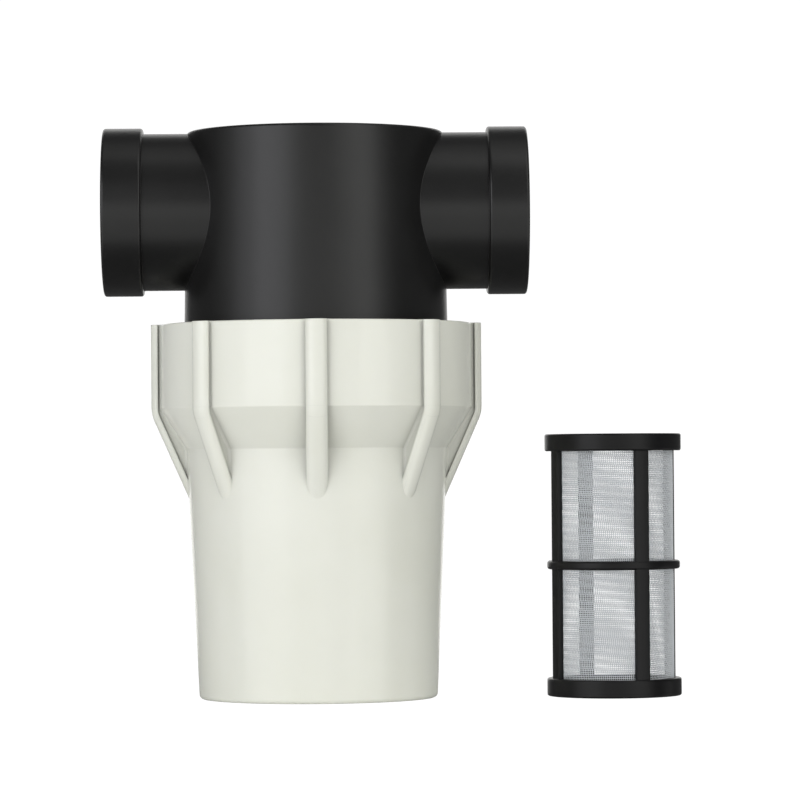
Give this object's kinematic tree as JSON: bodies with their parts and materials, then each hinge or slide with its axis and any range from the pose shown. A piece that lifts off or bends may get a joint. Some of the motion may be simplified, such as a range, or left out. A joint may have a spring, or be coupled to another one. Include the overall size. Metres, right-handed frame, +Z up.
{
  "type": "water pump strainer",
  "caption": "In-line pump strainer: a black two-port head screws onto a pale ribbed bowl, with its cylindrical mesh screen taken out and standing beside it",
  "frame": {"origin": "middle of the bowl's flat base, on the floor", "axes": "+Z up along the bowl's axis, +X along the outlet port, -X along the inlet port, -Y towards the camera"},
  "size_m": [0.1452, 0.0834, 0.1439],
  "materials": {
    "bowl_plastic": "satin off-white moulded plastic",
    "head_plastic": "matte black moulded plastic",
    "seal_rubber": "black rubber",
    "frame_plastic": "satin black moulded plastic",
    "mesh_steel": "fine woven stainless wire"
  },
  "bodies": {
    "bowl_and_screen": {"bowl": "bowl_plastic", "screen_frame": "frame_plastic", "screen_mesh": "mesh_steel"},
    "seal": {"seal": "seal_rubber"},
    "head": {"head": "head_plastic"}
  },
  "joints": [
    {"name": "head_lift", "type": "slide", "parent": "bowl_and_screen", "child": "seal", "axis": [0, 0, 1], "range_m": [0, 0.012]},
    {"name": "head_turn", "type": "hinge", "parent": "seal", "child": "head", "pos_m": [0, 0, 0.0943], "axis": [0, 0, 1], "range_deg": [0, 1080]}
  ],
  "couplings": [
    {"joint": "head_lift", "follows": "head_turn", "m_per_rad": 0.0006366}
  ]
}
